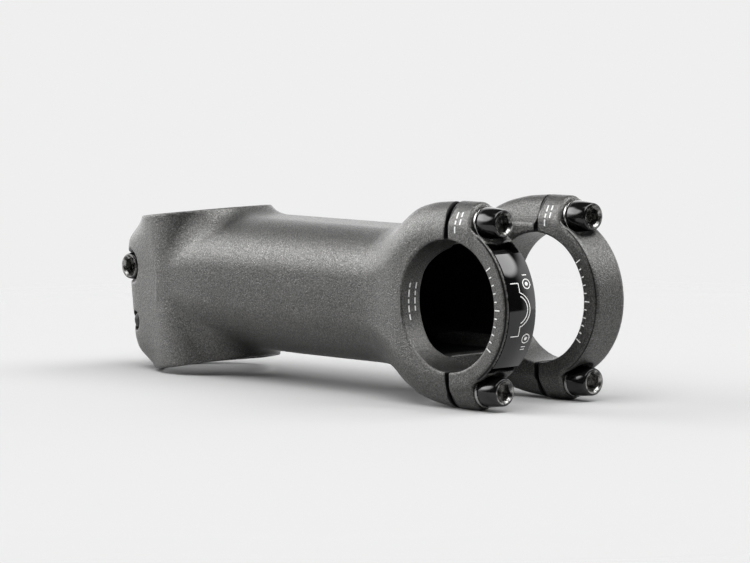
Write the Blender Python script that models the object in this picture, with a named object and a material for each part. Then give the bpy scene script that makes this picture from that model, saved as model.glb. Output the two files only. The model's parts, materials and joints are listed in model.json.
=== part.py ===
"""Threadless bicycle stem with two separate bar clamp caps.

The stem lies as it rests on a table: the extension is level along X, the bar clamp is towards +X
and the bar's axis lies along Y. The origin is the centre of the footprint, at table height.
Units are metres.
"""
from math import atan2, cos, pi, radians, sin

import bmesh
import bpy
from mathutils import Matrix, Vector

MM = 0.001

# Bar clamp
BAR_RADIUS = 15.9 * MM
RING_OUTER_FACE = 20.65 * MM
RING_INNER_FACE = 9.9 * MM
RING_CENTRE = (RING_OUTER_FACE + RING_INNER_FACE) / 2
RING_HALF_WIDTH = (RING_OUTER_FACE - RING_INNER_FACE) / 2
LUG_REACH = 25.0 * MM
LUG_CORNER = 4.8 * MM
CAP_RADIUS = 20.2 * MM
CAP_EDGE = 0.9 * MM
SPLIT_HALF_GAP = 0.5 * MM
GAP_REAR = 12.0 * MM
GAP_CORNER = 4.0 * MM
GAP_FLARE_START = 17.3 * MM
GAP_FLARE_WIDTH = 13.4 * MM
FLARE_REAR = 22.0 * MM

# Steerer clamp
STEM_LENGTH = 110.0 * MM
STEM_ANGLE = radians(7)
REST_TILT = radians(0.5)
EXTENSION_DROP = 1.4 * MM
STEERER_RADIUS = 14.3 * MM
COLLAR_RADIUS = 16.5 * MM
STACK_HEIGHT = 40.0 * MM
EAR_REACH = 21.5 * MM
EAR_TAPER = radians(15)
EAR_CORNER_POWER = 14
SLOT_HALF_WIDTH = 1.0 * MM
SLOT_FRONT = 12.0 * MM

# Bolts and washers
BOLT_RADIUS = 2.5 * MM
THREAD_HOLE_RADIUS = 2.6 * MM
PLAIN_HOLE_RADIUS = 2.8 * MM
BOLT_LENGTH = 18.0 * MM
TIP_CHAMFER = 0.4 * MM
HEAD_LENGTH = 5.4 * MM
HEAD_BASE_RADIUS = 3.95 * MM
HEAD_END_RADIUS = 3.35 * MM
HEAD_CHAMFER = 0.45 * MM
HEX_ACROSS_FLATS = 4.0 * MM
HEX_DEPTH = 2.8 * MM
WASHER_RADIUS = 4.2 * MM
WASHER_THICKNESS = 0.8 * MM
CONTACT_GAP = 0.08 * MM
CAP_BOLT_HEIGHT = 20.1 * MM
CAP_SEAT = 8.0 * MM
CAP_THREAD_END = 11.0 * MM
SPOT_FACE_RADIUS = 4.75 * MM
STEERER_BOLT_REAR = 17.8 * MM
STEERER_BOLT_SPREAD = 7.2 * MM
STEERER_SEAT = 6.2 * MM
COUNTERBORE_RADIUS = 4.45 * MM

# Label strip around the right cap
LABEL_HALF_ANGLE = radians(47)
LABEL_OUTER_MARGIN = 1.3 * MM
LABEL_INNER_MARGIN = 0.6 * MM
LABEL_RADIUS = 20.1 * MM
LABEL_THICKNESS = 0.4 * MM
LABEL_GAP = 0.2 * MM
RECESS_RADIUS = LABEL_RADIUS - LABEL_THICKNESS - LABEL_GAP

# Hollow inside the extension
HOLLOW_HALF_WIDTH = 14.0 * MM
HOLLOW_TOP = 13.3 * MM
HOLLOW_BOTTOM = -13.8 * MM
HOLLOW_CORNER = 6.0 * MM
HOLLOW_REAR = 88.0 * MM
PASSAGE_HALF_WIDTH = 9.0 * MM
PASSAGE_HALF_HEIGHT = 9.5 * MM
PASSAGE_REAR = 102.0 * MM

ROUND_SEGMENTS = 24
BORE_SEGMENTS = 72
SECTION_CORNER_STEPS = 7
CAP_EDGE_STEPS = 3
LABEL_STEPS = 28
SMOOTH_ANGLE = radians(35)
CLEAR = 30.0 * MM

# Outer form of the extension and the bar clamp's rear half, from the steerer clamp forwards:
# distance behind the bar's axis, half width, top, bottom and corner radius, in millimetres.
# At rest the rear end stands slightly higher, by the rest tilt.
BODY_SECTIONS = (
    (113.0, 12.5, 13.0, -15.5, 9.0),
    (108.0, 15.4, 15.2, -18.0, 11.0),
    (100.0, 16.6, 15.8, -18.6, 12.0),
    (70.0, 17.1, 15.8, -18.6, 12.0),
    (40.0, 17.5, 15.9, -18.3, 12.0),
    (32.0, 17.8, 16.1, -18.3, 12.0),
    (27.0, 18.4, 16.9, -18.7, 11.0),
    (23.0, 19.4, 17.9, -19.5, 10.0),
    (19.0, 20.3, 19.8, -20.9, 9.0),
    (14.0, 20.65, 22.4, -22.7, 7.5),
    (8.0, 20.65, 24.2, -24.3, 6.0),
    (0.5, 20.65, 25.0, -25.0, 5.3),
)

EARS_FULL_FROM = 0.31
# Steerer clamp from its top face down: share of the stack height, and how far the ears stand out
CLAMP_LEVELS = (
    (0.0, 0.0),
    (0.075, 0.23),
    (0.14, 0.56),
    (0.22, 0.86),
    (EARS_FULL_FROM, 1.0),
    (0.79, 1.0),
    (0.87, 0.86),
    (0.94, 0.45),
    (1.0, 0.0),
)
CLAMP_OUTLINE_POINTS = 64

# The steerer clamp's rear lower edge touches the table, and so do the bar clamp's lugs.
BAR_Z = LUG_REACH
LEAN = STEM_ANGLE - REST_TILT
CLAMP_Z = BAR_Z - EXTENSION_DROP + STEM_LENGTH * sin(REST_TILT)
CLAMP_BOTTOM = -(CLAMP_Z - COLLAR_RADIUS * sin(LEAN)) / cos(LEAN)
CLAMP_TOP = CLAMP_BOTTOM + STACK_HEIGHT
CLAMP_MIDDLE = (CLAMP_TOP + CLAMP_BOTTOM) / 2
EAR_TOP = CLAMP_TOP - EARS_FULL_FROM * STACK_HEIGHT
REAR_REACH = STEM_LENGTH + EAR_REACH * cos(LEAN) + EAR_TOP * sin(LEAN)
BAR_X = (REAR_REACH - CAP_RADIUS) / 2
BAR_AXIS = Vector((BAR_X, 0, BAR_Z))

# Frame of the steerer clamp: its local X points forwards and its local Z runs up the steerer.
CLAMP_FRAME = Matrix.Translation((BAR_X - STEM_LENGTH, 0, CLAMP_Z)) @ Matrix.Rotation(-LEAN, 4, "Y")

PAINT = ("charcoal_paint", (0.075, 0.073, 0.068), 0.55, 0.3)
BLACK = ("black_bolt", (0.012, 0.012, 0.013), 0.2, 0.8)
STEEL = ("washer_steel", (0.05, 0.05, 0.052), 0.28, 1.0)
GLOSS = ("label_gloss", (0.008, 0.008, 0.009), 0.08, 0.0)


def clear_scene():
    """Remove every object, so that the model starts from an empty scene."""
    for old in list(bpy.data.objects):
        bpy.data.objects.remove(old, do_unlink=True)


def new_collection(name):
    """Make a collection and link it to the scene."""
    made = bpy.data.collections.new(name)
    bpy.context.scene.collection.children.link(made)
    return made


def make_material(name, colour, roughness, metallic):
    """Make a Principled BSDF material."""
    material = bpy.data.materials.new(name)
    material.use_nodes = True
    shader = material.node_tree.nodes["Principled BSDF"]
    shader.inputs["Base Color"].default_value = (*colour, 1)
    shader.inputs["Roughness"].default_value = roughness
    shader.inputs["Metallic"].default_value = metallic
    return material


def finish_object(shape, name, collection, matrix=None):
    """Turn a bmesh into a smooth-shaded object that stands at the given matrix."""
    bmesh.ops.recalc_face_normals(shape, faces=shape.faces)
    mesh = bpy.data.meshes.new(name)
    shape.to_mesh(mesh)
    shape.free()
    mesh.shade_smooth()
    mesh.set_sharp_from_angle(angle=SMOOTH_ANGLE)
    made = bpy.data.objects.new(name, mesh)
    if matrix is not None:
        made.matrix_world = matrix
    collection.objects.link(made)
    return made


def make_cutter(shape, name, matrix=None):
    """Make a hidden wire object for a Boolean."""
    cutter = finish_object(shape, name, CUTTERS, matrix)
    cutter.hide_render = True
    cutter.display_type = "WIRE"
    return cutter


def add_boolean(target, cutter, operation="DIFFERENCE"):
    """Cut or join one object with another, which stays in its own place."""
    step = target.modifiers.new(cutter.name, "BOOLEAN")
    step.operation = operation
    step.solver = "EXACT"
    step.object = cutter


def loft(rings):
    """Skin closed rings that have the same number of points, with flat ends."""
    shape = bmesh.new()
    levels = [[shape.verts.new(point) for point in ring] for ring in rings]
    count = len(levels[0])
    for lower, upper in zip(levels, levels[1:]):
        for i in range(count):
            j = (i + 1) % count
            shape.faces.new((lower[i], lower[j], upper[j], upper[i]))
    shape.faces.new(levels[0])
    shape.faces.new(levels[-1])
    return shape


def rounded_rectangle(left, right, bottom, top, corner):
    """Points around a rectangle with round corners, as (across, up) pairs."""
    centres = (
        (right - corner, top - corner),
        (left + corner, top - corner),
        (left + corner, bottom + corner),
        (right - corner, bottom + corner),
    )
    points = []
    for quarter, (across, up) in enumerate(centres):
        for step in range(SECTION_CORNER_STEPS + 1):
            angle = (quarter + step / SECTION_CORNER_STEPS) * pi / 2
            points.append((across + corner * cos(angle), up + corner * sin(angle)))
    return points


def prism_along_x(outline, start, end):
    """Extrude (Y, Z) points from one X to another."""
    return loft([[(x, y, z) for y, z in outline] for x in (start, end)])


def box(low, high):
    """Make a box between two corners."""
    shape = bmesh.new()
    bmesh.ops.create_cube(shape, size=1)
    low, high = Vector(low), Vector(high)
    bmesh.ops.scale(shape, vec=high - low, verts=shape.verts)
    bmesh.ops.translate(shape, vec=(low + high) / 2, verts=shape.verts)
    return shape


def cylinder(radius, start, end, axis, segments=ROUND_SEGMENTS):
    """Make a cylinder between two places on an axis through the local origin."""
    shape = bmesh.new()
    bmesh.ops.create_cone(
        shape, cap_ends=True, segments=segments, radius1=radius, radius2=radius, depth=end - start
    )
    bmesh.ops.translate(shape, vec=(0, 0, (start + end) / 2), verts=shape.verts)
    turns = {
        "X": Matrix.Rotation(pi / 2, 3, "Y"),
        "Y": Matrix.Rotation(-pi / 2, 3, "X"),
        "Z": Matrix.Identity(3),
    }
    bmesh.ops.rotate(shape, matrix=turns[axis], verts=shape.verts)
    return shape


def turned(profile, segments):
    """Turn (radius, along) points around the local X axis.

    A profile that starts on the axis also ends there. Any other profile closes on its first point.
    """
    shape = bmesh.new()
    closed = profile[0][0] > 0
    rings = []
    for radius, along in profile:
        if radius == 0:
            rings.append([shape.verts.new((along, 0, 0))])
            continue
        angles = (2 * pi * i / segments for i in range(segments))
        rings.append([shape.verts.new((along, radius * cos(a), radius * sin(a))) for a in angles])
    pairs = list(zip(rings, rings[1:]))
    if closed:
        pairs.append((rings[-1], rings[0]))
    for first, second in pairs:
        for i in range(segments):
            j = (i + 1) % segments
            near = [first[i % len(first)], first[j % len(first)]]
            far = [second[j % len(second)], second[i % len(second)]]
            shape.faces.new(list(dict.fromkeys(near + far)))
    return shape


def around_bar(shape):
    """Move a shape modelled around the origin to the bar's axis."""
    bmesh.ops.translate(shape, vec=BAR_AXIS, verts=shape.verts)
    return shape


def clamp_outline(level, ears):
    """Outline of the steerer clamp at one level: a circle, drawn out at the rear into two ears."""
    points = []
    for i in range(CLAMP_OUTLINE_POINTS):
        angle = 2 * pi * i / CLAMP_OUTLINE_POINTS
        from_rear = abs(atan2(sin(angle), -cos(angle)))
        reach = COLLAR_RADIUS
        flank_angle = pi / 2 - EAR_TAPER
        if from_rear < flank_angle:
            flank = COLLAR_RADIUS / cos(from_rear - flank_angle)
            back = EAR_REACH / cos(from_rear)
            reach = (flank**-EAR_CORNER_POWER + back**-EAR_CORNER_POWER) ** (-1 / EAR_CORNER_POWER)
        reach = COLLAR_RADIUS + (reach - COLLAR_RADIUS) * ears
        points.append((reach * cos(angle), reach * sin(angle), level))
    return points


def steerer_bolts():
    """Side of the head (-1 is the rider's right) and height on the clamp of each steerer bolt."""
    return {
        "upper": (-1, CLAMP_MIDDLE + STEERER_BOLT_SPREAD),
        "lower": (1, CLAMP_MIDDLE - STEERER_BOLT_SPREAD),
    }


def cut_bar_clamp(body):
    """Cut the bar's bore, the gap between the rings and the cap bolts' threads."""
    bore = around_bar(cylinder(BAR_RADIUS, -CLEAR, CLEAR, "Y", BORE_SEGMENTS))
    add_boolean(body, make_cutter(bore, "cut_bar_bore"))
    plan = rounded_rectangle(-RING_INNER_FACE, RING_INNER_FACE, -GAP_REAR, CLEAR, GAP_CORNER)
    gap = loft([[(x, y, z) for y, x in plan] for z in (-2 * CLEAR, 2 * CLEAR)])
    add_boolean(body, make_cutter(around_bar(gap), "cut_ring_gap"))
    for side, upright in (("upper", 1), ("lower", -1)):
        flare = (
            (-RING_INNER_FACE, upright * GAP_FLARE_START),
            (RING_INNER_FACE, upright * GAP_FLARE_START),
            (GAP_FLARE_WIDTH, upright * (LUG_REACH + MM)),
            (-GAP_FLARE_WIDTH, upright * (LUG_REACH + MM)),
        )
        wedge = prism_along_x(flare, -FLARE_REAR, CLEAR)
        add_boolean(body, make_cutter(around_bar(wedge), f"cut_lug_flare_{side}"))
    for side in (-1, 1):
        for upright in (-1, 1):
            hole = cylinder(THREAD_HOLE_RADIUS, -CAP_THREAD_END, CLEAR, "X")
            offset = (0, side * RING_CENTRE, upright * CAP_BOLT_HEIGHT)
            bmesh.ops.translate(hole, vec=offset, verts=hole.verts)
            add_boolean(body, make_cutter(around_bar(hole), f"cut_cap_thread_{side}_{upright}"))


def cut_hollow(body):
    """Hollow the extension from the bar's bore to the steerer's bore."""
    wide = rounded_rectangle(
        -HOLLOW_HALF_WIDTH, HOLLOW_HALF_WIDTH, HOLLOW_BOTTOM, HOLLOW_TOP, HOLLOW_CORNER
    )
    chamber = prism_along_x(wide, -HOLLOW_REAR, 0)
    add_boolean(body, make_cutter(around_bar(chamber), "cut_hollow"))
    narrow = rounded_rectangle(
        -PASSAGE_HALF_WIDTH, PASSAGE_HALF_WIDTH, -PASSAGE_HALF_HEIGHT, PASSAGE_HALF_HEIGHT, HOLLOW_CORNER
    )
    passage = prism_along_x(narrow, -PASSAGE_REAR, -HOLLOW_REAR + MM)
    add_boolean(body, make_cutter(around_bar(passage), "cut_passage"))


def cut_steerer_clamp(body):
    """Cut the steerer's bore, the rear slot and the two bolts' holes."""
    bore = cylinder(STEERER_RADIUS, -CLEAR, CLEAR, "Z", BORE_SEGMENTS)
    add_boolean(body, make_cutter(bore, "cut_steerer_bore", CLAMP_FRAME))
    slot = box((-CLEAR, -SLOT_HALF_WIDTH, -CLEAR), (-SLOT_FRONT, SLOT_HALF_WIDTH, CLEAR))
    add_boolean(body, make_cutter(slot, "cut_slot", CLAMP_FRAME))
    for name, (side, level) in steerer_bolts().items():
        place = CLAMP_FRAME @ Matrix.Translation((-STEERER_BOLT_REAR, 0, level))
        spans = (
            ("thread", THREAD_HOLE_RADIUS, -side * CLEAR, 0),
            ("plain", PLAIN_HOLE_RADIUS, 0, side * CLEAR),
            ("counterbore", COUNTERBORE_RADIUS, side * STEERER_SEAT, side * CLEAR),
        )
        for use, radius, first, second in spans:
            hole = cylinder(radius, min(first, second), max(first, second), "Y")
            add_boolean(body, make_cutter(hole, f"cut_{name}_{use}", place))


def make_body():
    """Forged body: steerer clamp, hollow extension and the rear half of both rings."""
    rings = []
    for behind, half_width, top, bottom, corner in BODY_SECTIONS:
        outline = rounded_rectangle(-half_width, half_width, bottom, top, corner)
        lift = behind * sin(REST_TILT)
        rings.append([Vector((-behind, y, z + lift)) * MM + BAR_AXIS for y, z in outline])
    body = finish_object(loft(rings), "stem_body", PARTS)
    levels = [
        clamp_outline(CLAMP_TOP - share * STACK_HEIGHT, ears) for share, ears in CLAMP_LEVELS
    ]
    add_boolean(body, make_cutter(loft(levels), "join_steerer_clamp", CLAMP_FRAME), "UNION")
    cut_hollow(body)
    cut_bar_clamp(body)
    cut_steerer_clamp(body)
    body.data.materials.append(make_material(*PAINT))
    return body


def ring_profile():
    """Section of a bar ring as closed (radius, along) points, with round outer edges."""
    points = [(BAR_RADIUS, RING_HALF_WIDTH), (BAR_RADIUS, -RING_HALF_WIDTH)]
    radius = CAP_RADIUS - CAP_EDGE
    for end, first in ((-1, -pi / 2), (1, 0)):
        for step in range(CAP_EDGE_STEPS + 1):
            angle = first + step / CAP_EDGE_STEPS * pi / 2
            along = end * (RING_HALF_WIDTH - CAP_EDGE) + CAP_EDGE * sin(angle)
            points.append((radius + CAP_EDGE * cos(angle), along))
    return points


def make_cap(name, side):
    """Front cap of one ring, with a lug and a spot face for each of its two bolts."""
    centre = BAR_AXIS + Vector((0, side * RING_CENTRE, 0))
    place = Matrix.Translation(centre)
    ring = turned(ring_profile(), BORE_SEGMENTS)
    bmesh.ops.rotate(ring, matrix=Matrix.Rotation(pi / 2, 3, "Z"), verts=ring.verts)
    cap = finish_object(ring, name, PARTS, place)
    outline = rounded_rectangle(-RING_HALF_WIDTH, RING_HALF_WIDTH, -LUG_REACH, LUG_REACH, LUG_CORNER)
    lugs = prism_along_x(outline, SPLIT_HALF_GAP, CAP_SEAT)
    add_boolean(cap, make_cutter(lugs, f"join_{name}_lugs", place), "UNION")
    rear = box((-CLEAR, -CLEAR, -CLEAR), (SPLIT_HALF_GAP, CLEAR, CLEAR))
    add_boolean(cap, make_cutter(rear, f"cut_{name}_rear", place))
    bore = cylinder(BAR_RADIUS, -CLEAR, CLEAR, "Y", BORE_SEGMENTS)
    add_boolean(cap, make_cutter(bore, f"cut_{name}_bore", place))
    for upright in (-1, 1):
        seat = place @ Matrix.Translation((0, 0, upright * CAP_BOLT_HEIGHT))
        spot = cylinder(SPOT_FACE_RADIUS, CAP_SEAT, CLEAR, "X")
        add_boolean(cap, make_cutter(spot, f"cut_{name}_spot_{upright}", seat))
        hole = cylinder(PLAIN_HOLE_RADIUS, 0, CLEAR, "X")
        add_boolean(cap, make_cutter(hole, f"cut_{name}_hole_{upright}", seat))
    cap.data.materials.append(make_material(*PAINT))
    return cap


def bent_strip(inner, outer, half_angle, low, high):
    """Strip bent around the bar's axis, centred on +X, between two places along Y."""
    rings = []
    for step in range(LABEL_STEPS + 1):
        angle = half_angle * (2 * step / LABEL_STEPS - 1)
        corners = ((inner, low), (outer, low), (outer, high), (inner, high))
        rings.append([(radius * cos(angle), y, radius * sin(angle)) for radius, y in corners])
    return loft(rings)


def make_label(cap):
    """Gloss strip that lies in a shallow recess around the right cap's front."""
    low = -RING_OUTER_FACE + LABEL_OUTER_MARGIN
    high = -RING_INNER_FACE - LABEL_INNER_MARGIN
    edge = LABEL_GAP / LABEL_RADIUS
    recess = bent_strip(
        RECESS_RADIUS, CAP_RADIUS + MM, LABEL_HALF_ANGLE + edge, low - LABEL_GAP, high + LABEL_GAP
    )
    add_boolean(cap, make_cutter(around_bar(recess), "cut_label_recess"))
    strip = bent_strip(LABEL_RADIUS - LABEL_THICKNESS, LABEL_RADIUS, LABEL_HALF_ANGLE, low, high)
    label = finish_object(around_bar(strip), "clamp_label", PARTS)
    label.data.materials.append(make_material(*GLOSS))


def bolt_mesh():
    """M5 bolt along local +X: the seat of its head is at zero and its shank points to -X."""
    profile = (
        (0, -BOLT_LENGTH),
        (BOLT_RADIUS - TIP_CHAMFER, -BOLT_LENGTH),
        (BOLT_RADIUS, -BOLT_LENGTH + TIP_CHAMFER),
        (BOLT_RADIUS, 0),
        (HEAD_BASE_RADIUS, 0),
        (HEAD_END_RADIUS, HEAD_LENGTH - HEAD_CHAMFER),
        (HEAD_END_RADIUS - HEAD_CHAMFER, HEAD_LENGTH),
        (0, HEAD_LENGTH),
    )
    bolt = finish_object(turned(profile, ROUND_SEGMENTS), "bolt_blank", CUTTERS)
    hexagon = cylinder(HEX_ACROSS_FLATS / 2 / cos(pi / 6), HEAD_LENGTH - HEX_DEPTH, CLEAR, "X", 6)
    add_boolean(bolt, make_cutter(hexagon, "cut_hex_socket"))
    evaluated = bolt.evaluated_get(bpy.context.evaluated_depsgraph_get())
    mesh = bpy.data.meshes.new_from_object(evaluated)
    bpy.data.objects.remove(bolt, do_unlink=True)
    mesh.shade_smooth()
    mesh.set_sharp_from_angle(angle=SMOOTH_ANGLE)
    mesh.materials.append(make_material(*BLACK))
    return mesh


def washer_mesh():
    """Flat washer along local +X, standing on the seat at zero."""
    profile = (
        (PLAIN_HOLE_RADIUS, CONTACT_GAP),
        (WASHER_RADIUS, CONTACT_GAP),
        (WASHER_RADIUS, CONTACT_GAP + WASHER_THICKNESS),
        (PLAIN_HOLE_RADIUS, CONTACT_GAP + WASHER_THICKNESS),
    )
    washer = finish_object(turned(profile, ROUND_SEGMENTS), "washer_blank", CUTTERS)
    mesh = washer.data
    mesh.materials.append(make_material(*STEEL))
    bpy.data.objects.remove(washer, do_unlink=True)
    return mesh


def place_bolt(name, mesh_pair, seat):
    """Put a bolt and its washer on a seat, whose local +X points out of the part."""
    head_gap = Matrix.Translation((2 * CONTACT_GAP + WASHER_THICKNESS, 0, 0))
    for kind, mesh, place in (("bolt", mesh_pair[0], seat @ head_gap), ("washer", mesh_pair[1], seat)):
        made = bpy.data.objects.new(f"{name}_{kind}", mesh)
        made.matrix_world = place
        PARTS.objects.link(made)


def make_fasteners():
    """The four cap bolts and the two steerer bolts, each with its washer."""
    pair = (bolt_mesh(), washer_mesh())
    for cap, side in (("right_cap", -1), ("left_cap", 1)):
        for level, upright in (("upper", 1), ("lower", -1)):
            offset = Vector((CAP_SEAT, side * RING_CENTRE, upright * CAP_BOLT_HEIGHT))
            place_bolt(f"{cap}_{level}", pair, Matrix.Translation(BAR_AXIS + offset))
    for name, (side, level) in steerer_bolts().items():
        seat = Matrix.Translation((-STEERER_BOLT_REAR, side * STEERER_SEAT, level))
        place_bolt(f"steerer_{name}", pair, CLAMP_FRAME @ seat @ Matrix.Rotation(side * pi / 2, 4, "Z"))


clear_scene()
PARTS = new_collection("handlebar_stem")
CUTTERS = new_collection("cutters")
make_body()
right_cap = make_cap("right_cap", -1)
make_cap("left_cap", 1)
make_label(right_cap)
make_fasteners()
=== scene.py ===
"""Looks of the handlebar stem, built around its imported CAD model.

The forged body and the two caps are contoured from signed distance fields in millimetres, measured
from the centre of the handlebar's axis. Bolts, washers, label and white marks are made as meshes.
"""

import json
from math import cos, pi, radians, sin, sqrt

import bmesh
import bpy
import numpy as np
from mathutils import Matrix, Vector


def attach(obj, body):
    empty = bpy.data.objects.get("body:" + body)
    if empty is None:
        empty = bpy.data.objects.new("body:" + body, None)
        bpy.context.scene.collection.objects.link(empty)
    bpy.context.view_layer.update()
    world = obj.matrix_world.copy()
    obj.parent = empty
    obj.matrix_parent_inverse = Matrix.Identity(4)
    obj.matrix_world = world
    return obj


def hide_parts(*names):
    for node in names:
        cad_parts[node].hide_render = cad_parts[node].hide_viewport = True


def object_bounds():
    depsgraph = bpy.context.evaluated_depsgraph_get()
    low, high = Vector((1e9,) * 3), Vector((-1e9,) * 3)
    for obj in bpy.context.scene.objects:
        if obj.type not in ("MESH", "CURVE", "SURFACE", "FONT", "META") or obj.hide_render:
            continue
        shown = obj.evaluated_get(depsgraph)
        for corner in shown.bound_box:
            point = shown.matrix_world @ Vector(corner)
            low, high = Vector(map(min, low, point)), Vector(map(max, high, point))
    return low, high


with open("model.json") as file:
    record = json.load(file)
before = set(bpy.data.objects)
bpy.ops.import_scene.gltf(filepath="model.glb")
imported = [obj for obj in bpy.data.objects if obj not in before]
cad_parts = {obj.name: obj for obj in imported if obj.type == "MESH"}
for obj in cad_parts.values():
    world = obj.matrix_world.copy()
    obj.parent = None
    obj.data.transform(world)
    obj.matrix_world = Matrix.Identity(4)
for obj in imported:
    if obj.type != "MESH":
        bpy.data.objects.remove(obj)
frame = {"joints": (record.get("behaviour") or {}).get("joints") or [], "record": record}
cad_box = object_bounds()

MM = 0.001

# Bar clamp
CAP_RADIUS = 20.2
BAR_RADIUS = 15.9
LUG_REACH = 25.0
RING_OUTER_FACE = 20.61
RING_INNER_FACE = 9.9
RING_CENTRE = (RING_OUTER_FACE + RING_INNER_FACE) / 2
RING_HALF_WIDTH = (RING_OUTER_FACE - RING_INNER_FACE) / 2
SPLIT_HALF_GAP = 0.5
BOLT_HEIGHT = 20.1
CAP_SEAT = 8.0
SPOT_FACE_RADIUS = 4.75
CAP_THREAD_END = 11.0
THREAD_CHAMFER = 0.4
GAP_MIDDLE = 24.0
GAP_REAR = 12.0
GAP_CORNER = 4.0

# Steerer clamp
STEM_LENGTH = 110.0
REST_TILT = radians(0.5)
LEAN = radians(6.5)
CLAMP_LIFT = -1.4 + STEM_LENGTH * sin(REST_TILT)
CLAMP_TOP = 17.161
CLAMP_BOTTOM = -22.839
CLAMP_MIDDLE = (CLAMP_TOP + CLAMP_BOTTOM) / 2
STACK_HEIGHT = CLAMP_TOP - CLAMP_BOTTOM
STEERER_RADIUS = 14.3
COLLAR_RADIUS = 16.5
EAR_REACH = 21.4
EAR_TAPER = radians(15)
EAR_CORNER_POWER = 10
SLOT_HALF_WIDTH = 1.0
SLOT_FRONT = 12.0
STEERER_BOLT_REAR = 17.8
STEERER_BOLT_SPREAD = 7.2
STEERER_SEAT = 6.2
COUNTERBORE_RADIUS = 4.45
THREAD_HOLE_RADIUS = 2.6
PLAIN_HOLE_RADIUS = 2.8

# Extension
EXTENSION_REAR = 113.0
HOLLOW_REAR = 88.0
HOLLOW_HALF_WIDTH = 14.0
HOLLOW_HALF_HEIGHT = 13.55
HOLLOW_DROP = 0.25
PASSAGE_REAR = 102.0
PASSAGE_HALF_WIDTH = 9.0
PASSAGE_HALF_HEIGHT = 9.5
PASSAGE_CORNER = 6.0

# Bolts, washers and label
BOLT_RADIUS = 2.5
THREAD_DEPTH = 0.46
THREAD_PITCH = 0.8
BOLT_LENGTH = 18.0
HEAD_LENGTH = 5.4
HEAD_BASE_RADIUS = 3.95
HEAD_END_RADIUS = 3.35
HEX_RADIUS = 4.0 / 2 / cos(pi / 6)
HEX_DEPTH = 2.8
WASHER_RADIUS = 4.15
WASHER_THICKNESS = 0.8
CONTACT_GAP = 0.08
LABEL_RADIUS = 20.1
LABEL_THICKNESS = 0.4
LABEL_GAP = 0.2
LABEL_TOP = radians(40.5)
LABEL_END = radians(-44.5)
SLOT_TOP = radians(51)
SLOT_END = radians(-50.5)
SLOT_DEPTH = 2.6
LABEL_LOW = -RING_OUTER_FACE + 1.3
LABEL_HIGH = -RING_INNER_FACE - 0.6
LABEL_MIDDLE = (LABEL_LOW + LABEL_HIGH) / 2
LABEL_HALF = (LABEL_HIGH - LABEL_LOW) / 2
INK_HEIGHT = 0.03

# Softened edges and fillets. The last four add up where the steerer clamp meets the extension.
EDGE = 0.4
FINE_EDGE = 0.2
CAP_CORNER = 1.5
CAP_SIDE_EDGE = 0.6
LUG_CORNER = 8.4
LUG_SQUEEZE = 1.65
LUG_FILLET = 1.6
CREASE = radians(32)
FLANK_FILLET = 0.3
SHOULDER_FILLET = 1.3
CORNER_FILLET = 5.0
NOSE_FILLET = 9.0

# Contouring: the grid's steps in millimetres
BODY_STEP = 0.5
CAP_STEP = 0.4
# Shares of a step: the grid's offset, how far a point may be solved and then moved, and the welding distance
GRID_OFFSET = np.array((0.137, 0.271, 0.353))
SHIFT_LIMIT = 0.5
MOVE_LIMIT = 0.3
WELD = 0.14
# Guards for the solver and for divisions, and the millimetres either side over which a slope is taken
SOLVE_DAMPING = 0.05
LEAST_SLOPE = 0.05
TINY = 1e-9
PROBE = 0.02

# Outer form from the steerer clamp forwards: distance behind the bar's axis, half width, top, bottom,
# corner radius, and how much narrower than high the rounded corners are.
BODY_SECTIONS = (
    (113.0, 16.2, 13.0, -16.5, 12.5, 1.0),
    (108.0, 16.5, 15.0, -18.0, 13.8, 1.0),
    (100.0, 16.6, 15.7, -18.6, 13.4, 1.0),
    (88.0, 16.8, 15.8, -18.6, 12.4, 1.0),
    (70.0, 17.1, 15.8, -18.6, 12.0, 1.0),
    (40.0, 17.5, 15.9, -18.3, 12.0, 1.0),
    (32.0, 17.8, 16.1, -18.3, 12.0, 1.0),
    (27.0, 18.4, 16.9, -18.7, 11.5, 1.08),
    (23.0, 19.4, 18.2, -19.6, 11.0, 1.2),
    (19.0, 20.3, 20.3, -21.2, 10.0, 1.35),
    (14.0, 20.61, 22.8, -23.0, 9.0, 1.55),
    (8.0, 20.61, 24.3, -24.3, 8.6, 1.65),
    (0.5, 20.61, 25.0, -25.0, 8.4, 1.65),
    (-9.0, 20.61, 25.0, -25.0, 8.4, 1.65),
)
# The extension's sides draw in below this level, by this share of the depth squared. The crown starts and is
# full at these distances behind the bar, in front and at the rear.
CROWN_LEVEL = 4.0
SIDE_CROWN = 0.006
CROWN_FRONT = (24, 40)
CROWN_BACK = (102, 84)
# Valley between the two rings' lugs: the heights of its floors above and below, and its flanks' slope
VALLEY_FLOORS = (17.2, 18.9)
VALLEY_SLOPE = 1.75
# How far the steerer clamp's ears stand out, by the share of the stack height below its top face
EAR_LEVELS = (
    (-0.1, 0.0),
    (0.0, 0.0),
    (0.05, 0.36),
    (0.134, 0.9),
    (0.21, 1.0),
    (0.79, 1.0),
    (0.87, 0.86),
    (0.94, 0.45),
    (1.0, 0.0),
    (1.1, 0.0),
)


def smoothed(stations, values, width):
    """A fine table through the given values, with its corners rounded over a width."""
    order = np.argsort(stations)
    stations = np.asarray(stations, float)[order]
    values = np.asarray(values, float)[order]
    fine = np.linspace(stations[0], stations[-1], 1201)
    table = np.interp(fine, stations, values)
    reach = max(1, round(width / (fine[1] - fine[0]) / 2))
    kernel = np.ones(2 * reach + 1) / (2 * reach + 1)
    for _ in range(2):
        padded = np.pad(table, reach, mode="edge")
        table = np.convolve(padded, kernel, mode="valid")
    return fine, table


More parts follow.
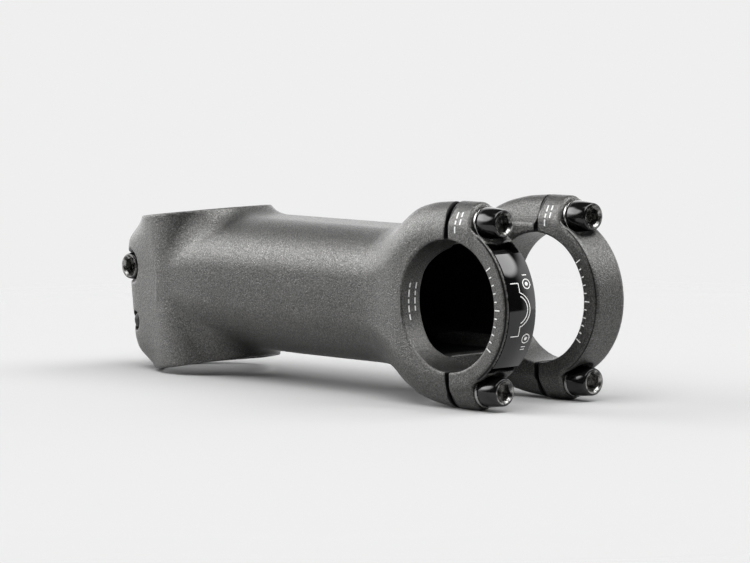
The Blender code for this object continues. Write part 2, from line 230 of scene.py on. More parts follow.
SECTION_TABLES = [
    smoothed([row[0] for row in BODY_SECTIONS], [row[i] for row in BODY_SECTIONS], 3.0)
    for i in range(1, 6)
]
EAR_TABLE = smoothed([row[0] for row in EAR_LEVELS], [row[1] for row in EAR_LEVELS], 0.05)
REAR_ANGLES = np.linspace(0, pi, 721)


def ear_reach():
    """Distance from the steerer's axis to the clamp's outline, by angle from straight behind."""
    flank_angle = pi / 2 - EAR_TAPER
    angle = np.minimum(REAR_ANGLES, flank_angle)
    flank = COLLAR_RADIUS / np.cos(angle - flank_angle)
    back = EAR_REACH / np.cos(angle)
    return (flank**-EAR_CORNER_POWER + back**-EAR_CORNER_POWER) ** (-1 / EAR_CORNER_POWER)


EAR_OUTLINE = np.maximum(ear_reach(), COLLAR_RADIUS)


def smooth_max(a, b, width):
    """Maximum of two fields, with the corner between them rounded."""
    overlap = np.maximum(width - np.abs(a - b), 0) / width
    return np.maximum(a, b) + overlap * overlap * width / 4


def smooth_min(a, b, width):
    """Union of two fields, with a fillet between them."""
    return -smooth_max(-a, -b, width)


def cut(solid, tool, width=EDGE):
    """Solid without the tool, with a softened edge."""
    return smooth_max(solid, -tool, width)


def ramp(value, start, end):
    """Smooth step from 0 at start to 1 at end."""
    share = np.clip((value - start) / (end - start), 0, 1)
    return share * share * (3 - 2 * share)


def rounded_box(a, b, half_a, half_b, corner):
    """Field of a rectangle with round corners."""
    past_a = np.abs(a) - half_a + corner
    past_b = np.abs(b) - half_b + corner
    outside = np.hypot(np.maximum(past_a, 0), np.maximum(past_b, 0))
    return outside + np.minimum(np.maximum(past_a, past_b), 0) - corner


def outer_form(x, y, z):
    """Extension and the rear half of the bar clamp, before anything is cut."""
    half, top, bottom, corner, squeeze = (np.interp(-x, *table) for table in SECTION_TABLES)
    lifted = z + x * sin(REST_TILT)
    crown = SIDE_CROWN * np.minimum(lifted - CROWN_LEVEL, 0) ** 2
    crown = crown * ramp(-x, *CROWN_FRONT) * ramp(-x, *CROWN_BACK)
    sideways = (np.abs(y) + crown) * squeeze
    form = rounded_box(sideways, lifted - (top + bottom) / 2, half * squeeze, (top - bottom) / 2, corner)
    # Valley between the two rings' lugs, above and below
    apart = ramp(-x, 30, 12)
    side = np.abs(y) - RING_INNER_FACE - 5.0 * (1 - apart)
    climb = smooth_max(side * VALLEY_SLOPE, 0.0 * side, 3.0)
    floor = np.where(lifted > 0, *VALLEY_FLOORS)
    valley = (np.abs(lifted) - floor - climb) / sqrt(1 + VALLEY_SLOPE * VALLEY_SLOPE)
    return smooth_max(form, valley - 3.0 * (1 - apart), 2.0)


def steerer_axes(x, z):
    """Coordinates in the steerer clamp: forwards across its axis, and up along it."""
    forward, up = x + STEM_LENGTH, z - CLAMP_LIFT
    return forward * cos(LEAN) + up * sin(LEAN), up * cos(LEAN) - forward * sin(LEAN)


def body_field(x, y, z):
    """Forged body: steerer clamp, hollow extension and the rear half of both rings."""
    across, along = steerer_axes(x, z)
    radial = np.hypot(across, y)
    from_rear = np.arctan2(np.abs(y), -across)
    ears = np.interp((CLAMP_TOP - along) / STACK_HEIGHT, *EAR_TABLE)
    reach = COLLAR_RADIUS + (np.interp(from_rear, REAR_ANGLES, EAR_OUTLINE) - COLLAR_RADIUS) * ears
    collar = radial - reach
    extension = smooth_max(outer_form(x, y, z), -x - EXTENSION_REAR, EDGE)

    # Fillet between them: next to none on the flush flanks, wide on the shoulders and in front on top
    nose = ramp(np.abs(y), 15, 5) * ramp(across, -2, 10) * ramp(z, 0, 8)
    shoulder = ramp(np.abs(y), 17.5, 11.5)
    corner = np.maximum(ramp(-z, 3, 12), 1.2 * ramp(z, 1, 9))
    fillet = FLANK_FILLET + SHOULDER_FILLET * shoulder
    fillet = fillet + CORNER_FILLET * corner * shoulder * (1 - nose) + NOSE_FILLET * nose
    body = smooth_min(collar, extension, fillet)

    # Flat top, and an underside that rises slightly towards the extension and ends under it
    body = smooth_max(body, along - CLAMP_TOP, EDGE)
    rise = 0.06 * np.maximum(across, 0) - 0.5 * np.maximum(across - 17, 0)
    body = smooth_max(body, CLAMP_BOTTOM - along + rise, EDGE)

    # Steerer clamp: bore, slot and bolt holes
    body = cut(body, radial - STEERER_RADIUS)
    body = cut(body, np.maximum(np.abs(y) - SLOT_HALF_WIDTH, across + SLOT_FRONT))
    for side, upright in ((-1, 1), (1, -1)):
        level = CLAMP_MIDDLE + upright * STEERER_BOLT_SPREAD
        hole = np.hypot(across + STEERER_BOLT_REAR, along - level)
        outwards = side * y
        body = cut(body, np.maximum(hole - COUNTERBORE_RADIUS, STEERER_SEAT - outwards))
        body = cut(body, np.maximum(hole - PLAIN_HOLE_RADIUS, -outwards), FINE_EDGE)
        body = cut(body, np.maximum(hole - THREAD_HOLE_RADIUS, outwards), 0.3)

    # Hollow extension, narrower and rounder to the rear, with a passage on to the steerer bore
    inner = ramp(-x, 30, 60)
    corner = np.where(z > 0, 7.0, 4.5) + 4.5 * inner
    half_width, half_height = HOLLOW_HALF_WIDTH - 1.2 * inner, HOLLOW_HALF_HEIGHT - 0.4 * inner
    chamber = rounded_box(y, z + HOLLOW_DROP, half_width, half_height, corner)
    body = cut(body, np.maximum(np.maximum(chamber, -x - HOLLOW_REAR), x))
    passage = rounded_box(y, z, PASSAGE_HALF_WIDTH, PASSAGE_HALF_HEIGHT, PASSAGE_CORNER)
    body = cut(body, np.maximum(np.maximum(passage, -x - PASSAGE_REAR), x + (HOLLOW_REAR - 1)))

    # Bar clamp: gap between the rings, bar bore, split plane and threaded holes
    body = cut(body, rounded_box(y, x - GAP_MIDDLE, RING_INNER_FACE, GAP_MIDDLE + GAP_REAR, GAP_CORNER))
    body = cut(body, np.hypot(x, z) - BAR_RADIUS)
    body = smooth_max(body, x + SPLIT_HALF_GAP, EDGE)
    hole = np.hypot(np.abs(y) - RING_CENTRE, np.abs(z) - BOLT_HEIGHT) - THREAD_HOLE_RADIUS
    hole = hole - np.clip(x + (SPLIT_HALF_GAP + THREAD_CHAMFER), 0, THREAD_CHAMFER)
    return cut(body, np.maximum(hole, -x - CAP_THREAD_END), FINE_EDGE)


def cap_field(side):
    """Front cap of one ring. Only the right one has the label's recess."""

    def field(x, y, z):
        across = y - side * RING_CENTRE
        radial = np.hypot(x, z)
        ring = rounded_box(across, radial - CAP_RADIUS / 2, RING_HALF_WIDTH, CAP_RADIUS / 2, CAP_CORNER)
        lug = rounded_box(across * LUG_SQUEEZE, z, RING_HALF_WIDTH * LUG_SQUEEZE, LUG_REACH, LUG_CORNER)
        lug = smooth_max(lug, x - CAP_SEAT, LUG_FILLET)
        from_bolt = np.hypot(across, np.abs(z) - BOLT_HEIGHT)
        cap = smooth_min(ring, lug, LUG_FILLET)
        cap = smooth_max(cap, np.abs(across) - RING_HALF_WIDTH, CAP_SIDE_EDGE)
        cap = cut(cap, np.maximum(from_bolt - SPOT_FACE_RADIUS, CAP_SEAT - x))
        cap = cut(cap, from_bolt - PLAIN_HOLE_RADIUS, FINE_EDGE)
        cap = cut(cap, radial - BAR_RADIUS)
        cap = smooth_max(cap, SPLIT_HALF_GAP - x, EDGE)
        if side < 0:
            # Recess under the label, and a deeper slot at each of its ends
            beside = np.abs(y - LABEL_MIDDLE) - (LABEL_HALF + LABEL_GAP)
            angle = np.arctan2(z, x)
            past_label = np.maximum(angle - LABEL_TOP, LABEL_END - angle) * LABEL_RADIUS
            recess = np.maximum(LABEL_RADIUS - LABEL_THICKNESS - LABEL_GAP - radial, beside)
            cap = cut(cap, np.maximum(recess, past_label - LABEL_GAP), FINE_EDGE)
            past_slot = np.maximum(angle - SLOT_TOP, SLOT_END - angle) * LABEL_RADIUS
            slots = np.maximum(LABEL_RADIUS - SLOT_DEPTH - radial, beside)
            cap = cut(cap, np.maximum(slots, np.maximum(past_slot, -past_label)), FINE_EDGE)
        return cap

    return field


def gradient(field, points):
    """Slope of a field at each point."""
    slope = np.empty_like(points)
    for axis in range(3):
        shift = np.zeros(3)
        shift[axis] = PROBE
        ahead, back = points + shift, points - shift
        slope[:, axis] = (field(*ahead.T) - field(*back.T)) / (2 * PROBE)
    return slope


def crossings(value, low, step):
    """Each grid edge that crosses the surface: its point, and the four cells around it as a quad."""
    strides = np.array((value.shape[1] * value.shape[2], value.shape[2], 1))
    points, quads = [], []
    for axis in range(3):
        first = np.moveaxis(value, axis, 0)[:-1]
        second = np.moveaxis(value, axis, 0)[1:]
        found = np.argwhere(np.moveaxis((first < 0) != (second < 0), 0, axis))
        beyond = found.copy()
        beyond[:, axis] += 1
        near, far = value[tuple(found.T)], value[tuple(beyond.T)]
        point = np.asarray(low) + step * found.astype(float)
        point[:, axis] += step * near / (near - far)
        second_axis, third_axis = strides[(axis + 1) % 3], strides[(axis + 2) % 3]
        around = (0, -second_axis, -second_axis - third_axis, -third_axis)
        quad = (found @ strides)[:, None] + np.array(around)
        quad[near > 0] = quad[near > 0][:, ::-1]
        points.append(point)
        quads.append(quad)
    return np.concatenate(points), np.concatenate(quads)


def contour(field, low, high, step):
    """Vertices and quads of a field's surface, with its edges kept crisp."""
    low = np.asarray(low) - GRID_OFFSET * step
    axes = [np.arange(a, b + step, step) for a, b in zip(low, high)]
    grid = np.meshgrid(*axes, indexing="ij", sparse=True)
    value = np.array(field(*grid), np.float64)
    points, quads = crossings(value, low, step)
    slopes = gradient(field, points)
    slopes /= np.maximum(np.linalg.norm(slopes, axis=1, keepdims=True), TINY)
    cells, quads = np.unique(quads, return_inverse=True)
    quads = quads.reshape(-1, 4)
    owner = quads.ravel()
    count = len(cells)

    def gathered(values):
        return np.bincount(owner, np.repeat(values, 4), count)

    share = np.bincount(owner, minlength=count)
    centre = np.stack([gathered(points[:, i]) / share for i in range(3)], 1)
    matrix = np.empty((count, 3, 3))
    for i in range(3):
        for j in range(i, 3):
            matrix[:, i, j] = matrix[:, j, i] = gathered(slopes[:, i] * slopes[:, j])
    offset = np.einsum("ij,ij->i", slopes, points)
    pull = np.stack([gathered(slopes[:, i] * offset) for i in range(3)], 1)
    pull -= np.einsum("nij,nj->ni", matrix, centre)
    shift = np.linalg.solve(matrix + SOLVE_DAMPING * np.eye(3), pull[..., None])[..., 0]
    place = centre + np.clip(shift, -SHIFT_LIMIT * step, SHIFT_LIMIT * step)
    for _ in range(3):
        slope = gradient(field, place)
        size = np.maximum(np.einsum("ij,ij->i", slope, slope), LEAST_SLOPE)
        move = (field(*place.T) / size)[:, None] * slope
        place -= np.clip(move, -MOVE_LIMIT * step, MOVE_LIMIT * step)
    return place, quads


BAR_CENTRE = Vector((cad_box[1].x - CAP_RADIUS * MM, 0, LUG_REACH * MM))


def show(name, mesh, body, material, nodes=()):
    """Put a mesh into the scene as a piece that rides on a body."""
    piece = bpy.data.objects.new(name, mesh)
    bpy.context.scene.collection.objects.link(piece)
    mesh.materials.clear()
    mesh.materials.append(material)
    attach(piece, body)
    if nodes:
        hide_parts(*nodes)
    return piece


def contoured(name, field, low, high, step):
    """Mesh of a field's surface, in metres in the row frame, with the field's own normals."""
    step = step
    place, quads = contour(field, low, high, step)
    mesh = bpy.data.meshes.new(name)
    mesh.vertices.add(len(place))
    mesh.vertices.foreach_set("co", place.ravel())
    mesh.loops.add(quads.size)
    mesh.loops.foreach_set("vertex_index", quads.ravel())
    mesh.polygons.add(len(quads))
    mesh.polygons.foreach_set("loop_start", np.arange(0, quads.size, 4))
    mesh.polygons.foreach_set("loop_total", np.full(len(quads), 4))
    mesh.update(calc_edges=True)
    shape = bmesh.new()
    shape.from_mesh(mesh)
    bmesh.ops.remove_doubles(shape, verts=shape.verts, dist=WELD * step)
    bmesh.ops.dissolve_degenerate(shape, edges=shape.edges, dist=WELD * step)
    shape.to_mesh(mesh)
    shape.free()
    mesh.validate()
    place = np.empty(len(mesh.vertices) * 3)
    mesh.vertices.foreach_get("co", place)
    place = place.reshape(-1, 3)
    normal = gradient(field, place)
    normal /= np.maximum(np.linalg.norm(normal, axis=1, keepdims=True), TINY)
    mesh.vertices.foreach_set("co", (place * MM + np.array(BAR_CENTRE)).ravel())
    mesh.shade_smooth()
    mesh.normals_split_custom_set_from_vertices(normal)
    return mesh


# ---------------------------------------------------------------- materials


class Nodes:
    """Small helper that adds nodes to one material or world."""

    def __init__(self, tree):
        self.tree = tree

    def add(self, kind, **settings):
        node = self.tree.nodes.new(kind)
        for key, value in settings.items():
            setattr(node, key, value)
        return node

    def link(self, source, target):
        self.tree.links.new(source, target)

    def value(self, socket, given):
        if isinstance(given, bpy.types.NodeSocket):
            self.link(given, socket)
        else:
            socket.default_value = given

    def math(self, operation, *inputs):
        node = self.add("ShaderNodeMath", operation=operation)
        for socket, given in zip(node.inputs, inputs):
            self.value(socket, given)
        return node.outputs[0]

    def map(self, source, low, high, to_low=0.0, to_high=1.0, kind="SMOOTHSTEP"):
        node = self.add("ShaderNodeMapRange", interpolation_type=kind)
        for socket, given in zip(node.inputs, (source, low, high, to_low, to_high)):
            self.value(socket, given)
        return node.outputs[0]

    def noise(self, coordinates, scale, detail=2.0, roughness=0.5):
        node = self.add("ShaderNodeTexNoise")
        self.link(coordinates, node.inputs["Vector"])
        node.inputs["Scale"].default_value = scale
        node.inputs["Detail"].default_value = detail
        node.inputs["Roughness"].default_value = roughness
        return node.outputs["Fac"]

    def mix_colour(self, factor, first, second):
        node = self.add("ShaderNodeMix", data_type="RGBA")
        self.value(node.inputs[0], factor)
        for socket, given in zip((node.inputs[6], node.inputs[7]), (first, second)):
            self.value(socket, given if isinstance(given, bpy.types.NodeSocket) else (*given, 1))
        return node.outputs[2]

    def bump(self, height, distance, strength=1.0, normal=None):
        node = self.add("ShaderNodeBump")
        self.link(height, node.inputs["Height"])
        node.inputs["Distance"].default_value = distance
        node.inputs["Strength"].default_value = strength
        if normal is not None:
            self.link(normal, node.inputs["Normal"])
        return node.outputs[0]


def new_material(name, **sockets):
    """Material with a Principled shader, its fixed values set on the shader's own sockets."""
    material = bpy.data.materials.new(name)
    material.use_nodes = True
    shader = material.node_tree.nodes["Principled BSDF"]
    for key, value in sockets.items():
        shader.inputs[key.replace("_", " ")].default_value = value
    nodes = Nodes(material.node_tree)
    coordinates = nodes.add("ShaderNodeTexCoord").outputs["Object"]
    return material, shader, nodes, coordinates


# Where painted shade darkens the paint to near black, in metres from the bar's centre: in the hollow, the slots
# and along the split. Each pair is where the painted shade ends and where it is full. Up on the lugs the
# split's painted shade reaches further out, by LUG_SPLIT_EXTRA at most.
HOLLOW_ACROSS = (0.0146, 0.0142)
HOLLOW_UP = (0.0143, 0.0139)
HOLLOW_DIAGONAL = (0.0247, 0.0243)
HOLLOW_FRONT = (-0.0150, -0.0165)
HOLLOW_BACK = (-0.0905, -0.0890)
SLOT_FLOOR = (0.0172, 0.0174)
SLOT_MOUTH = (0.0200, 0.0198)
SLOT_OUTER_END = (0.0204, 0.0202)
SLOT_INNER_END = (0.0102, 0.0104)
SLOT_AHEAD = (0.0095, 0.0105)
SPLIT_REACH = (0.00085, 0.00065)
LUG_TOPS = (0.0205, 0.0225)
LUG_SPLIT_EXTRA = 0.0005

DARK_GRAIN = (0.060, 0.060, 0.058)
LIGHT_GRAIN = (0.124, 0.123, 0.119)
GLINT = (0.27, 0.268, 0.260)
CLOUD = (0.073, 0.073, 0.071)
# Near black of the painted shade inside the hollow extension
HOLLOW_PAINTED_SHADE = (0.014, 0.014, 0.015)
# Near black of the painted shade in the slots and along the split
GAP_PAINTED_SHADE = (0.006, 0.006, 0.006)


def paint_material():
    """Matte charcoal paint with a fine metallic grain, and painted shade that darkens it to near black in the
    hollow, slots and split.
    """
    material, shader, nodes, place = new_material("body_paint", Metallic=0.85)

    def within(*limits):
        """One where every value is past its limit's full end, and zero past its other end."""
        total, *others = [nodes.map(value, *limit) for value, limit in limits]
        for other in others:
            total = nodes.math("MULTIPLY", total, other)
        return total

    grain = nodes.noise(place, 2300, 3.0, 0.65)
    glint = nodes.noise(place, 4100, 2.0, 0.6)
    cloud = nodes.noise(place, 130, 3.0, 0.5)
    tone = nodes.mix_colour(nodes.map(grain, 0.38, 0.62), DARK_GRAIN, LIGHT_GRAIN)
    tone = nodes.mix_colour(nodes.map(glint, 0.57, 0.68), tone, GLINT)
    shade = nodes.map(cloud, 0.3, 0.7, 0.0, 0.2, "LINEAR")
    tone = nodes.mix_colour(shade, tone, CLOUD)

    spot = nodes.add("ShaderNodeSeparateXYZ")
    nodes.link(place, spot.inputs[0])
    ahead = nodes.math("SUBTRACT", spot.outputs["X"], BAR_CENTRE.x)
    across = nodes.math("ABSOLUTE", spot.outputs["Y"])
    lift = nodes.math("SUBTRACT", spot.outputs["Z"], BAR_CENTRE.z)
    up = nodes.math("ABSOLUTE", lift)
    diagonal = nodes.math("ADD", across, up)
    squares = nodes.math("ADD", nodes.math("POWER", ahead, 2.0), nodes.math("POWER", lift, 2.0))
    radial = nodes.math("SQRT", squares)
    # Painted shade: the inside of the hollow extension is darkened to near black
    hollow = within(
        (across, HOLLOW_ACROSS),
        (up, HOLLOW_UP),
        (diagonal, HOLLOW_DIAGONAL),
        (ahead, HOLLOW_FRONT),
        (ahead, HOLLOW_BACK),
    )
    tone = nodes.mix_colour(hollow, tone, HOLLOW_PAINTED_SHADE)
    # Painted shade: the slots at the label's ends are darkened to near black
    slots = within(
        (radial, SLOT_FLOOR),
        (radial, SLOT_MOUTH),
        (across, SLOT_OUTER_END),
        (across, SLOT_INNER_END),
        (ahead, SLOT_AHEAD),
    )
    # Painted shade along the split between body and caps, reaching further out up on the lugs
    extra = nodes.map(up, *LUG_TOPS, 0.0, LUG_SPLIT_EXTRA)
    split = nodes.map(nodes.math("SUBTRACT", nodes.math("ABSOLUTE", ahead), extra), *SPLIT_REACH)
    gap_shade = nodes.math("MAXIMUM", slots, split)
    nodes.link(nodes.mix_colour(gap_shade, tone, GAP_PAINTED_SHADE), shader.inputs["Base Color"])

    rough = nodes.map(grain, 0.25, 0.75, 0.37, 0.28, "LINEAR")
    nodes.link(rough, shader.inputs["Roughness"])
    low = nodes.bump(nodes.noise(place, 900, 2.0), 0.00003, 0.6)
    fine = nodes.bump(grain, 0.00012, 0.9, low)
    nodes.link(nodes.bump(glint, 0.00009, 0.9, fine), shader.inputs["Normal"])
    return material


def bolt_material():
    """Glossy black coated steel, worn to grey inside the socket and around its mouth."""
    material, shader, nodes, place = new_material("bolt_black", Metallic=0.9)
    stain = nodes.noise(place, 700, 4.0, 0.6)
    tone = nodes.mix_colour(stain, (0.030, 0.030, 0.031), (0.062, 0.061, 0.060))
    scuff = nodes.mix_colour(nodes.map(stain, 0.4, 0.65), (0.08, 0.08, 0.078), (0.36, 0.356, 0.345))
    bare = nodes.add("ShaderNodeAttribute", attribute_name="bare").outputs["Fac"]
    worn = nodes.math("MULTIPLY", bare, nodes.map(stain, 0.25, 0.6, 0.35, 1.0))
    nodes.link(nodes.mix_colour(worn, tone, scuff), shader.inputs["Base Color"])
    rough = nodes.map(stain, 0.3, 0.7, 0.06, 0.15, "LINEAR")
    nodes.link(nodes.math("MULTIPLY_ADD", bare, 0.08, rough), shader.inputs["Roughness"])
    nodes.link(nodes.bump(nodes.noise(place, 2600, 2.0), 0.000004), shader.inputs["Normal"])
    return material


def washer_material():
    """Dark polished steel, finely turned."""
    material, shader, nodes, place = new_material("washer_steel", Metallic=1.0)
    stain = nodes.noise(place, 1500, 3.0)
    nodes.link(nodes.mix_colour(stain, (0.26, 0.26, 0.255), (0.44, 0.44, 0.43)), shader.inputs["Base Color"])
    nodes.link(nodes.map(stain, 0.3, 0.7, 0.16, 0.28, "LINEAR"), shader.inputs["Roughness"])
    nodes.link(nodes.bump(nodes.noise(place, 5200, 2.0), 0.000004), shader.inputs["Normal"])
    return material


def label_material():
    """Gloss black film with very fine waves."""
    material, shader, nodes, place = new_material("label_gloss", Roughness=0.045, IOR=1.55)
    dust = nodes.noise(place, 1200, 4.0, 0.6)
    film = nodes.mix_colour(dust, (0.0015, 0.0015, 0.0017), (0.004, 0.004, 0.0042))
    nodes.link(film, shader.inputs["Base Color"])
    nodes.link(nodes.bump(nodes.noise(place, 240, 2.0), 0.000004), shader.inputs["Normal"])
    return material


def ink_material():
    """White printed ink, slightly worn."""
    material, shader, nodes, place = new_material("white_ink", Roughness=0.5)
    wear = nodes.noise(place, 3800, 3.0, 0.65)
    white = nodes.mix_colour(nodes.map(wear, 0.30, 0.55), (0.62, 0.62, 0.61), (0.92, 0.92, 0.90))
    nodes.link(white, shader.inputs["Base Color"])
    nodes.link(nodes.bump(wear, 0.00001), shader.inputs["Normal"])
    return material


PAINT = paint_material()
BLACK = bolt_material()
STEEL = washer_material()
GLOSS = label_material()
INK = ink_material()

# ---------------------------------------------------------------- body and caps

BODY_LOW, BODY_HIGH = (-134, -22, -27), (1.5, 22, 27)
body_mesh = contoured("stem_body_looks", body_field, BODY_LOW, BODY_HIGH, BODY_STEP)
show("forged_body", body_mesh, "stem", PAINT, ["stem_body"])
CAP_SIDES = (("right_cap", -1), ("left_cap", 1))
for cap_name, cap_side in CAP_SIDES:
    span = sorted((cap_side * (RING_INNER_FACE - 1.5), cap_side * (RING_OUTER_FACE + 1.5)))
    low_corner, high_corner = (-1, span[0], -26.5), (22, span[1], 26.5)
    cap_mesh = contoured(f"{cap_name}_looks", cap_field(cap_side), low_corner, high_corner, CAP_STEP)
    show(f"{cap_name}_shell", cap_mesh, cap_name, PAINT, [cap_name])

# ---------------------------------------------------------------- bolts and washers


def turned_mesh(profile, segments, closed=False, twist=None):
    """Turn (along, radius) points around local X. A twist gives each vertex its own radius."""
    shape = bmesh.new()
    rings = []
    for along, radius in profile:
        ring = []
        for i in range(segments):
            angle = 2 * pi * i / segments
            reach = radius if twist is None else twist(along, radius, angle)
            ring.append(shape.verts.new((along, reach * cos(angle), reach * sin(angle))))
        rings.append(ring)
    pairs = list(zip(rings, rings[1:]))
    if closed:
        pairs.append((rings[-1], rings[0]))
    for first, second in pairs:
        for i in range(segments):
            j = (i + 1) % segments
            shape.faces.new((first[i], first[j], second[j], second[i]))
    if not closed:
        shape.faces.new(rings[0])
        shape.faces.new(rings[-1])
    bmesh.ops.recalc_face_normals(shape, faces=shape.faces)
    return shape


def finished(shape, name):
    """Mesh from a bmesh, smooth-shaded between its crisp edges, still in millimetres."""
    mesh = bpy.data.meshes.new(name)
    shape.to_mesh(mesh)
    shape.free()
    mesh.shade_smooth()
    mesh.set_sharp_from_angle(angle=CREASE)
    return mesh


MOUTH_RADIUS = HEX_RADIUS + 0.3
HEAD_CORNER = 0.4
THREAD_START = -3.2
THREAD_END = -BOLT_LENGTH + 0.9


def thread_radius(along, radius, angle):
    """Radius on the shank, where a triangular thread winds from tip to neck."""
    if not THREAD_END <= along <= THREAD_START:
        return radius
    phase = (along / THREAD_PITCH - angle / (2 * pi)) % 1
    depth = THREAD_DEPTH * abs(2 * phase - 1)
    fade = min(1, (along - THREAD_END) / 0.6, (THREAD_START - along) / 0.6)
    return radius - depth * fade


def bolt_profile():
    """Bolt from tip to head: (along, radius), with the head's seat at zero."""
    tip = BOLT_RADIUS - THREAD_DEPTH
    points = [(-BOLT_LENGTH, tip - 0.35), (-BOLT_LENGTH + 0.1, tip - 0.1), (-BOLT_LENGTH + 0.5, tip + 0.3)]
    along = THREAD_END
    while along < THREAD_START:
        points.append((along, BOLT_RADIUS))
        along += THREAD_PITCH / 8
    points += [(THREAD_START + 0.05, BOLT_RADIUS), (-0.25, BOLT_RADIUS), (-0.05, BOLT_RADIUS + 0.15)]
    edge = 0.2
    points += [(0.0, HEAD_BASE_RADIUS - edge), (0.06, HEAD_BASE_RADIUS - 0.06), (edge, HEAD_BASE_RADIUS)]
    slope = (HEAD_END_RADIUS - HEAD_BASE_RADIUS) / HEAD_LENGTH
    shoulder = HEAD_LENGTH - HEAD_CORNER - 0.2
    points.append((shoulder, HEAD_BASE_RADIUS + slope * shoulder))
    for step in range(5):
        angle = step / 4 * pi / 2
        along = HEAD_LENGTH - HEAD_CORNER * (1 - sin(angle))
        points.append((along, HEAD_END_RADIUS - HEAD_CORNER * (1 - cos(angle))))
    return points


def hexagon_cutter():
    """The two tools for a hexagonal socket: its countersunk mouth and the hexagon."""
    rings = (
        (HEAD_LENGTH + 1.0, MOUTH_RADIUS + 1.0),
        (HEAD_LENGTH, MOUTH_RADIUS),
        (HEAD_LENGTH - 0.5, MOUTH_RADIUS - 0.5),
    )
    cone = turned_mesh(rings, 36)
    prism = turned_mesh([(HEAD_LENGTH + 1.0, HEX_RADIUS), (HEAD_LENGTH - HEX_DEPTH, HEX_RADIUS)], 6)
    return [finished(cone, "socket_mouth"), finished(prism, "socket_hexagon")]


def carved(mesh, tools):
    """Copy of a mesh with tool meshes cut out of it."""
    target = bpy.data.objects.new("carve_target", mesh)
    bpy.context.scene.collection.objects.link(target)
    helpers = []
    for tool in tools:
        helper = bpy.data.objects.new(tool.name, tool)
        bpy.context.scene.collection.objects.link(helper)
        step = target.modifiers.new(tool.name, "BOOLEAN")
        step.operation, step.solver, step.object = "DIFFERENCE", "EXACT", helper
        helpers.append(helper)
    bpy.context.view_layer.update()
    evaluated = target.evaluated_get(bpy.context.evaluated_depsgraph_get())
    result = bpy.data.meshes.new_from_object(evaluated)
    for helper in [target, *helpers]:
        bpy.data.objects.remove(helper, do_unlink=True)
    result.shade_smooth()
    result.set_sharp_from_angle(angle=CREASE)
    return result


def washer_profile():
    """Closed section of a washer: (along, radius), with slightly rounded edges."""
    low, high, edge = CONTACT_GAP, CONTACT_GAP + WASHER_THICKNESS, 0.14
    return [
        (low, PLAIN_HOLE_RADIUS + edge),
        (low, WASHER_RADIUS - edge),
        (low + edge * 0.3, WASHER_RADIUS - edge * 0.3),
        (low + edge, WASHER_RADIUS),
        (high - edge, WASHER_RADIUS),
        (high - edge * 0.3, WASHER_RADIUS - edge * 0.3),
        (high, WASHER_RADIUS - edge),
        (high, PLAIN_HOLE_RADIUS + edge),
        (high - edge, PLAIN_HOLE_RADIUS),
        (low + edge, PLAIN_HOLE_RADIUS),
    ]


bolt_blank = finished(turned_mesh(bolt_profile(), 48, twist=thread_radius), "bolt_blank")
bolt_mesh = carved(bolt_blank, hexagon_cutter())
bolt_mesh.name = "socket_bolt"
bare = bolt_mesh.attributes.new("bare", "FLOAT", "CORNER")
for face in bolt_mesh.polygons:
    centre = face.center
    in_socket = centre.x > HEAD_LENGTH - HEX_DEPTH - 0.2 and np.hypot(centre.y, centre.z) < MOUTH_RADIUS
    for corner in face.loop_indices:
        bare.data[corner].value = 1.0 if in_socket else 0.0
washer_mesh = finished(turned_mesh(washer_profile(), 64, closed=True), "flat_washer")

hinges = {joint["child"]: joint for joint in frame["joints"] if joint["type"] == "hinge"}
bodies = frame["record"]["behaviour"]["bodies"]
body_of_node = {node: name for name, nodes in bodies.items() for node in nodes}
for bolt_name, joint in hinges.items():
    axis, seat_point = Vector(joint["axis"]), Vector(joint["pos_m"])
    turn = axis.to_track_quat("X", "Z").to_matrix().to_4x4()
    seat = Matrix.Translation(seat_point) @ turn @ Matrix.Scale(MM, 4)
    head_gap = Matrix.Translation((2 * CONTACT_GAP + WASHER_THICKNESS, 0, 0))
    roll = Matrix.Rotation(radians(11 + 17 * len(bolt_name)), 4, "X")
    placed_bolt = bolt_mesh.copy()
    placed_bolt.transform(seat @ head_gap @ roll)
    show(f"{bolt_name}_socket_head", placed_bolt, bolt_name, BLACK, [bolt_name])
    washer_name = bolt_name.replace("_bolt", "_washer")
    placed_washer = washer_mesh.copy()
    placed_washer.transform(seat)
    washer_body = body_of_node[washer_name]
    show(f"{washer_name}_ring", placed_washer, washer_body, STEEL, [washer_name])

# ---------------------------------------------------------------- label and printed marks


def ribbon(shape, path, width, surface, closed=False):
    """Thin raised strip along a path of (across, up) points on a mapped surface."""
    count = len(path)
    rings = []
    for i, point in enumerate(path):
        before = path[(i - 1) % count] if closed or i > 0 else path[0]
        after = path[(i + 1) % count] if closed or i < count - 1 else path[-1]
        along = (Vector(after) - Vector(before)).normalized()
        side = Vector((-along.y, along.x)) * width / 2
        corners = []
        for sign, rise in ((1, -1), (1, 1), (-1, 1), (-1, -1)):
            spot = Vector(point) + sign * side
            corners.append(shape.verts.new(surface(spot.x, spot.y, rise * INK_HEIGHT)))
        rings.append(corners)
    pairs = list(zip(rings, rings[1:]))
    if closed:
        pairs.append((rings[-1], rings[0]))
    for first, second in pairs:
        for i in range(4):
            j = (i + 1) % 4
            shape.faces.new((first[i], first[j], second[j], second[i]))
    if not closed:
        shape.faces.new(rings[0])
        shape.faces.new(rings[-1])


def arc(centre, radius, start, end, steps=28):
    """Points along a circular arc, with its angles in degrees."""
    angles = [radians(start + (end - start) * i / steps) for i in range(steps + 1)]
    return [(centre[0] + radius * cos(a), centre[1] + radius * sin(a)) for a in angles]


def line(start, end, steps=6):
    """Points along a straight line."""
    a, b = Vector(start), Vector(end)
    return [tuple(a.lerp(b, i / steps)) for i in range(steps + 1)]


